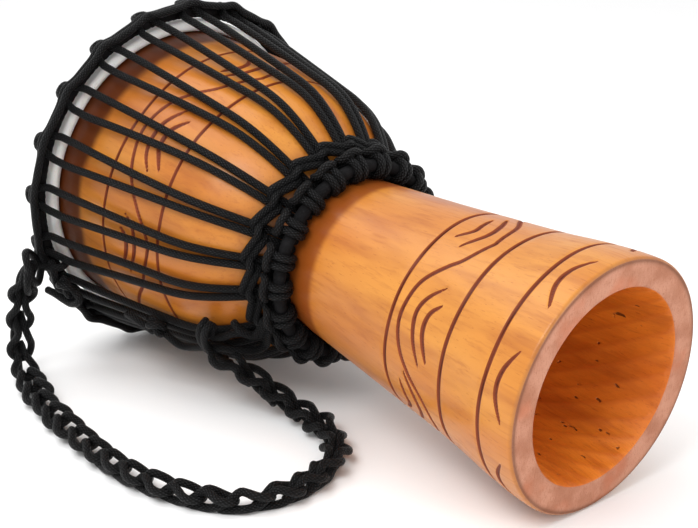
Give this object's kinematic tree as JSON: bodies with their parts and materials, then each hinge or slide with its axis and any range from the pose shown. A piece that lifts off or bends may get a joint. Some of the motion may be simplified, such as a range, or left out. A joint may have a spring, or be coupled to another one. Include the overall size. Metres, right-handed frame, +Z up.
{
  "type": "rope-tuned goblet drum",
  "caption": "Djembe: carved goblet shell open at the foot, goat-skin head on rope-tensioned hoops, knotted black lacing and a plaited carrying strap, lying on its side.",
  "frame": {"origin": "on the table, below the centre of the drum's bounding box as it lies on its foot rim and crown knots; the strap isn't counted", "axes": "+Z up, +X along the lying drum from the head towards the open foot (the drum's own axis climbs 6.25 degrees from the foot to the head), +Y away from the side where the strap lies"},
  "size_m": [0.4196, 0.2989, 0.2379],
  "materials": {
    "amber_wood": "clear varnished amber mahogany, carved lines stained dark red-brown",
    "goat_skin": "shaved natural goat skin, matte",
    "ring_steel": "bare welded rod",
    "black_cloth": "cloth strip wound round the hoop",
    "black_rope": "braided polyester rope, slight sheen",
    "strap_rope": "braided polyester rope, slight sheen"
  },
  "bodies": {
    "drum": {"shell": "amber_wood", "drumhead": "goat_skin", "flesh_ring": "ring_steel", "crown_ring": "black_cloth", "waist_ring": "black_cloth", "crown_cradle_rope": "black_rope", "waist_cradle_rope": "black_rope", "waist_loop_chain": "black_rope", "finishing_rope": "black_rope", "crown_tie_knot": "black_rope", "strap_upper_tie": "strap_rope", "strap_lower_tie": "strap_rope", "lacing_pair_01": "black_rope", "lacing_pair_02": "black_rope", "lacing_pair_03": "black_rope", "lacing_pair_04": "black_rope", "lacing_pair_05": "black_rope", "lacing_pair_06": "black_rope", "lacing_pair_07": "black_rope", "lacing_pair_08": "black_rope", "lacing_pair_09": "black_rope", "lacing_pair_10": "black_rope", "lacing_pair_11": "black_rope", "lacing_pair_12": "black_rope", "lacing_pair_13": "black_rope", "lacing_pair_14": "black_rope", "lacing_pair_15": "black_rope", "lacing_pair_16": "black_rope", "lacing_pair_17": "black_rope", "lacing_pair_18": "black_rope", "lacing_pair_19": "black_rope", "lacing_pair_20": "black_rope"},
    "strap": {"strap": "strap_rope"}
  },
  "joints": [
    {"name": "strap_swing", "type": "hinge", "parent": "drum", "child": "strap", "pos_m": [-0.17535, -0.126, 0.076], "axis": [-0.8792, -0.3986, 0.2608], "range_deg": [0, 50]}
  ]
}
